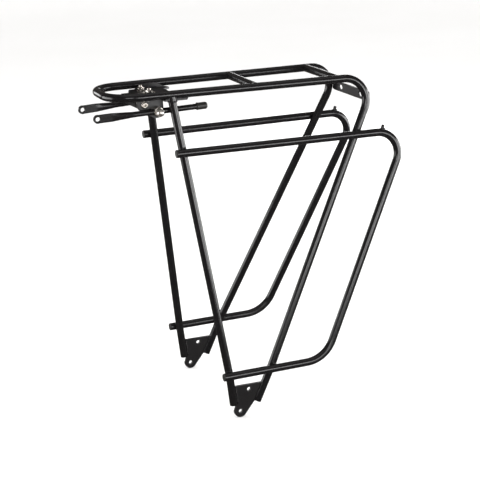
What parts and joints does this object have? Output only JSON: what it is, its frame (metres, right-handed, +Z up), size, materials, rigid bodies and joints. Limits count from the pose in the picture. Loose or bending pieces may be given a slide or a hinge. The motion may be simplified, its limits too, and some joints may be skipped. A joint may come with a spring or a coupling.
{
  "type": "bicycle rear rack",
  "caption": "Rear rack for a bicycle: bent tube platform on splayed legs, lowered side rails for bags, and two clamped front stays that slide and tilt.",
  "frame": {"origin": "midway between the lower eyelets of the two dropout plates", "axes": "+X towards the front of the bicycle, +Y to its left, +Z up"},
  "size_m": [0.3904, 0.2174, 0.4152],
  "materials": {
    "black_powder_coat": "smooth gloss black powder coat on chromium-molybdenum steel tube and sheet",
    "black_plastic": "moulded matte black plastic",
    "stainless_steel": "bright stainless steel",
    "polished_steel": "polished stainless steel"
  },
  "bodies": {
    "frame": {"main_hoop": "black_powder_coat", "middle_crossbar": "black_powder_coat", "rear_crossbar": "black_powder_coat", "mounting_plate": "black_powder_coat", "rear_light_plate": "black_powder_coat", "left_front_leg": "black_powder_coat", "left_dropout_plate": "black_powder_coat", "left_side_rail": "black_powder_coat", "left_upper_rail_plug": "black_plastic", "left_lower_rail_plug": "black_plastic", "left_bag_stop": "black_powder_coat", "left_stay_bracket": "black_powder_coat", "right_front_leg": "black_powder_coat", "right_dropout_plate": "black_powder_coat", "right_side_rail": "black_powder_coat", "right_upper_rail_plug": "black_plastic", "right_lower_rail_plug": "black_plastic", "right_bag_stop": "black_powder_coat", "right_stay_bracket": "black_powder_coat", "bracket_screws": "stainless_steel", "bracket_washers": "stainless_steel", "bracket_nuts": "stainless_steel", "ear_screws": "stainless_steel", "ear_washers": "stainless_steel", "ear_nuts": "stainless_steel", "mudguard_screws": "stainless_steel", "mudguard_washers": "stainless_steel", "mudguard_nuts": "stainless_steel"},
    "left_clamp": {"left_eye_bolt": "stainless_steel", "left_clamp_washers": "stainless_steel", "left_clamp_nut": "stainless_steel", "left_domed_nut": "polished_steel"},
    "left_stay_rod": {"left_stay": "black_powder_coat", "left_stay_cap": "black_plastic"},
    "right_clamp": {"right_eye_bolt": "stainless_steel", "right_clamp_washers": "stainless_steel", "right_clamp_nut": "stainless_steel", "right_domed_nut": "polished_steel"},
    "right_stay_rod": {"right_stay": "black_powder_coat", "right_stay_cap": "black_plastic"}
  },
  "joints": [
    {"name": "left_clamp_tilt", "type": "hinge", "parent": "frame", "child": "left_clamp", "pos_m": [0.073, 0.03781, 0.3817], "axis": [0, -1, 0], "range_deg": [-4.5, 3.5]},
    {"name": "left_stay_slide", "type": "slide", "parent": "left_clamp", "child": "left_stay_rod", "axis": [0.9979, -0.051, -0.0388], "range_m": [-0.02, 0.025]},
    {"name": "right_clamp_tilt", "type": "hinge", "parent": "frame", "child": "right_clamp", "pos_m": [0.073, -0.03781, 0.3817], "axis": [0, -1, 0], "range_deg": [-4.5, 3.5]},
    {"name": "right_stay_slide", "type": "slide", "parent": "right_clamp", "child": "right_stay_rod", "axis": [0.9979, 0.051, -0.0388], "range_m": [-0.02, 0.025]}
  ]
}
